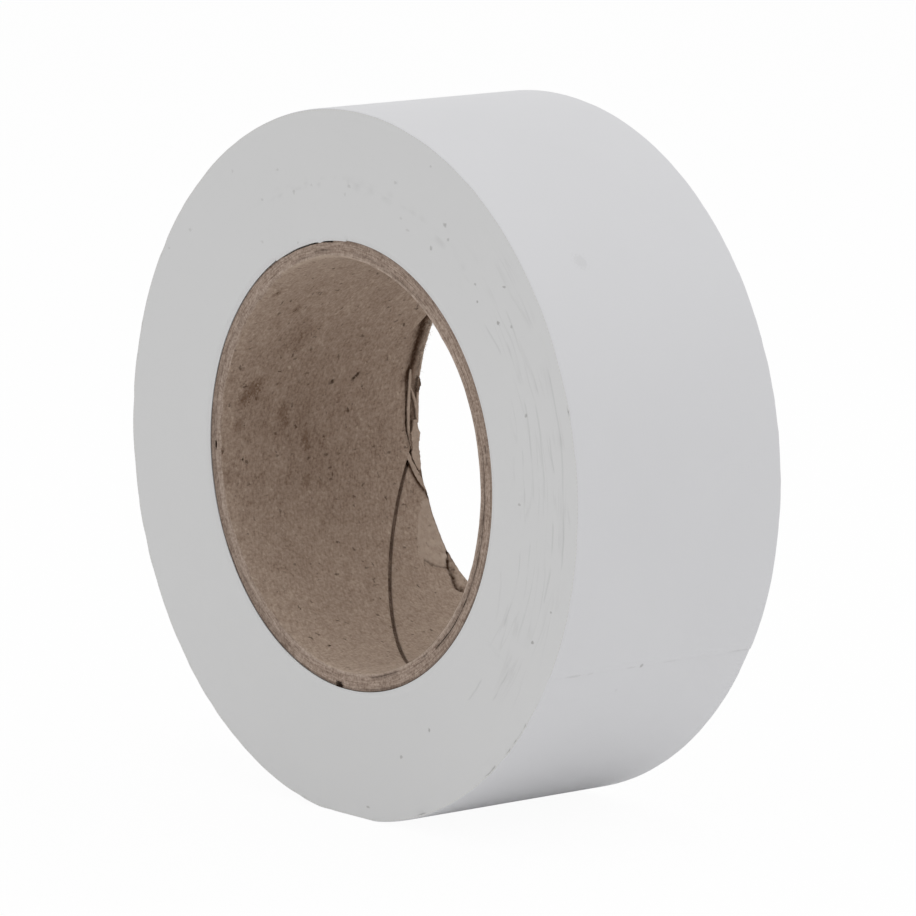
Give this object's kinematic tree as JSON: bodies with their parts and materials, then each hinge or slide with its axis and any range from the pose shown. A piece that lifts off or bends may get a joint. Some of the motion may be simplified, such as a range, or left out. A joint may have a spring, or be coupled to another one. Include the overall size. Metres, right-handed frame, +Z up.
{
  "type": "roll of duct tape",
  "caption": "Roll of white cloth-backed duct tape on a spiral-wound paper core, standing on its rim, with a tail that peels off.",
  "frame": {"origin": "centre of the core's bore, half way along it", "axes": "+Y along the roll's axis, away from the pictured side face; +Z up, as the roll stands on its rim; +X towards the side where the tail's cut end hangs"},
  "size_m": [0.1319, 0.048, 0.1312],
  "materials": {
    "paper": "matte",
    "wound_tape": "matte",
    "film": "satin",
    "scrim": "matte",
    "adhesive": "satin"
  },
  "bodies": {
    "roll": {"core_inner_ply": "paper", "core_second_ply": "paper", "core_third_ply": "paper", "core_fourth_ply": "paper", "core_fifth_ply": "paper", "core_outer_ply": "paper", "first_turn": "wound_tape", "wound_turns": "wound_tape", "outer_turn_film": "film", "outer_turn_scrim": "scrim", "outer_turn_adhesive": "adhesive"},
    "tail_root": {"tail_root_adhesive": "adhesive", "tail_root_scrim": "scrim", "tail_root_film": "film"},
    "tail_mid": {"tail_mid_adhesive": "adhesive", "tail_mid_scrim": "scrim", "tail_mid_film": "film"},
    "tail_tip": {"tail_tip_adhesive": "adhesive", "tail_tip_scrim": "scrim", "tail_tip_film": "film"}
  },
  "joints": [
    {"name": "tail_root_peel", "type": "hinge", "parent": "roll", "child": "tail_root", "pos_m": [0.06578, 0, 0.00525], "axis": [0, -1, 0], "range_deg": [0, 60]},
    {"name": "tail_mid_peel", "type": "hinge", "parent": "tail_root", "child": "tail_mid", "pos_m": [0.06559, 0, -0.00733], "axis": [0, -1, 0], "range_deg": [0, 60]},
    {"name": "tail_tip_peel", "type": "hinge", "parent": "tail_mid", "child": "tail_tip", "pos_m": [0.06301, 0, -0.01964], "axis": [0, -1, 0], "range_deg": [0, 60]}
  ]
}
